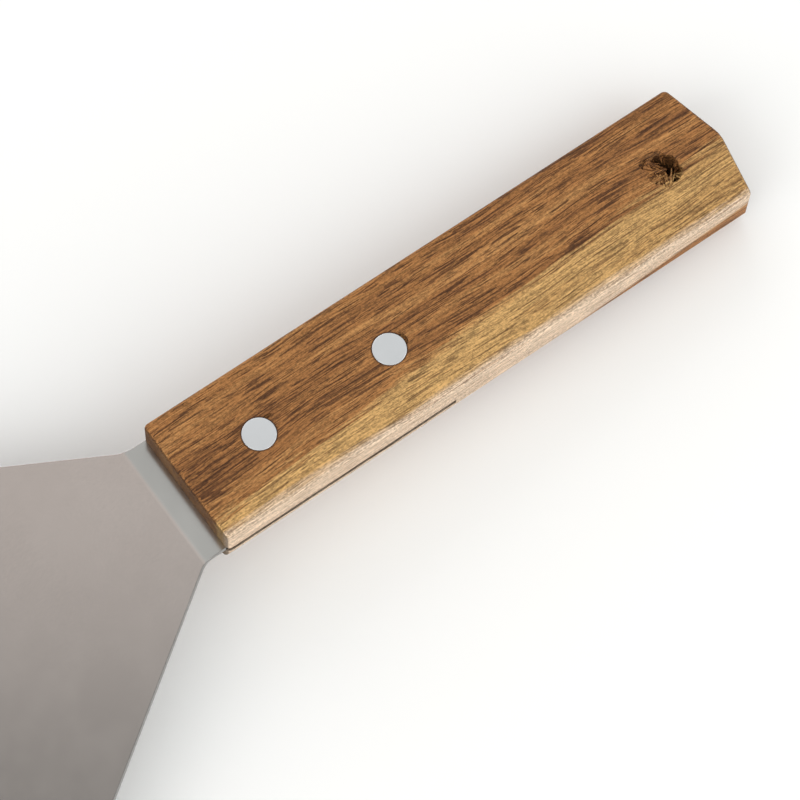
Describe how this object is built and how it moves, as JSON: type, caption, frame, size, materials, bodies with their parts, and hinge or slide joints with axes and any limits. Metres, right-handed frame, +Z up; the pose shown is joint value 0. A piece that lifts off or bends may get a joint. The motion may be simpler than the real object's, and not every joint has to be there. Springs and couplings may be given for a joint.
{
  "type": "grill spatula",
  "caption": "Flat flared blade with a bent neck, its tang riveted into the saw slot of a straight wooden handle with a hang hole; turns food on a grill.",
  "frame": {"origin": "on the table plane, below the middle of the overall length, with the spatula lying on the blade's front edge and the point of the butt", "axes": "+X along the spatula from the blade to the butt of the handle, +Y across the blade, +Z up, out of the side that the picture shows"},
  "size_m": [0.2278, 0.11, 0.0234],
  "materials": {
    "sheet_steel": "fine brushed stainless sheet, satin",
    "handle_wood": "oiled hardwood with brown heartwood and a pale sapwood edge, open pores",
    "rivet_metal": "sanded flush with the wood, satin"
  },
  "bodies": {
    "root": {"blade": "sheet_steel", "handle": "handle_wood", "front_rivet_socket": "rivet_metal", "front_rivet_pin": "rivet_metal", "rear_rivet_socket": "rivet_metal", "rear_rivet_pin": "rivet_metal"}
  },
  "joints": []
}
